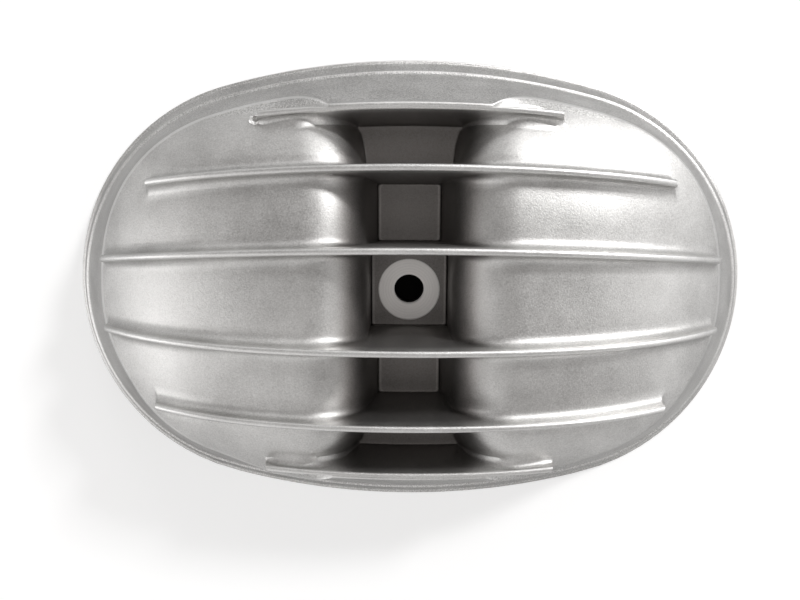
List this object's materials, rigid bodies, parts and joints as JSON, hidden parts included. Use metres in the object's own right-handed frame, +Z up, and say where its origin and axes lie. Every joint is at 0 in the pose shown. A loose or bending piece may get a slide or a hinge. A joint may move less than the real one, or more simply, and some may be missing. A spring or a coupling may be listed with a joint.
{
  "type": "engine valve cover",
  "caption": "Oval cast aluminium valve cover with bowed cooling fins over its lobes, a deep cross valley and a central stud boss; its flat rim sits on a gasket.",
  "frame": {"origin": "on the stud hole's axis, in the plane of the gasket face", "axes": "+X along the cover and its fins, +Y across it, +Z up the stud hole, away from the engine"},
  "size_m": [0.21, 0.139, 0.0494],
  "materials": {
    "cast_aluminium": "fine blasted casting, satin, with a machined seat round the stud hole"
  },
  "bodies": {
    "root": {"valve_cover": "cast_aluminium"}
  },
  "joints": []
}
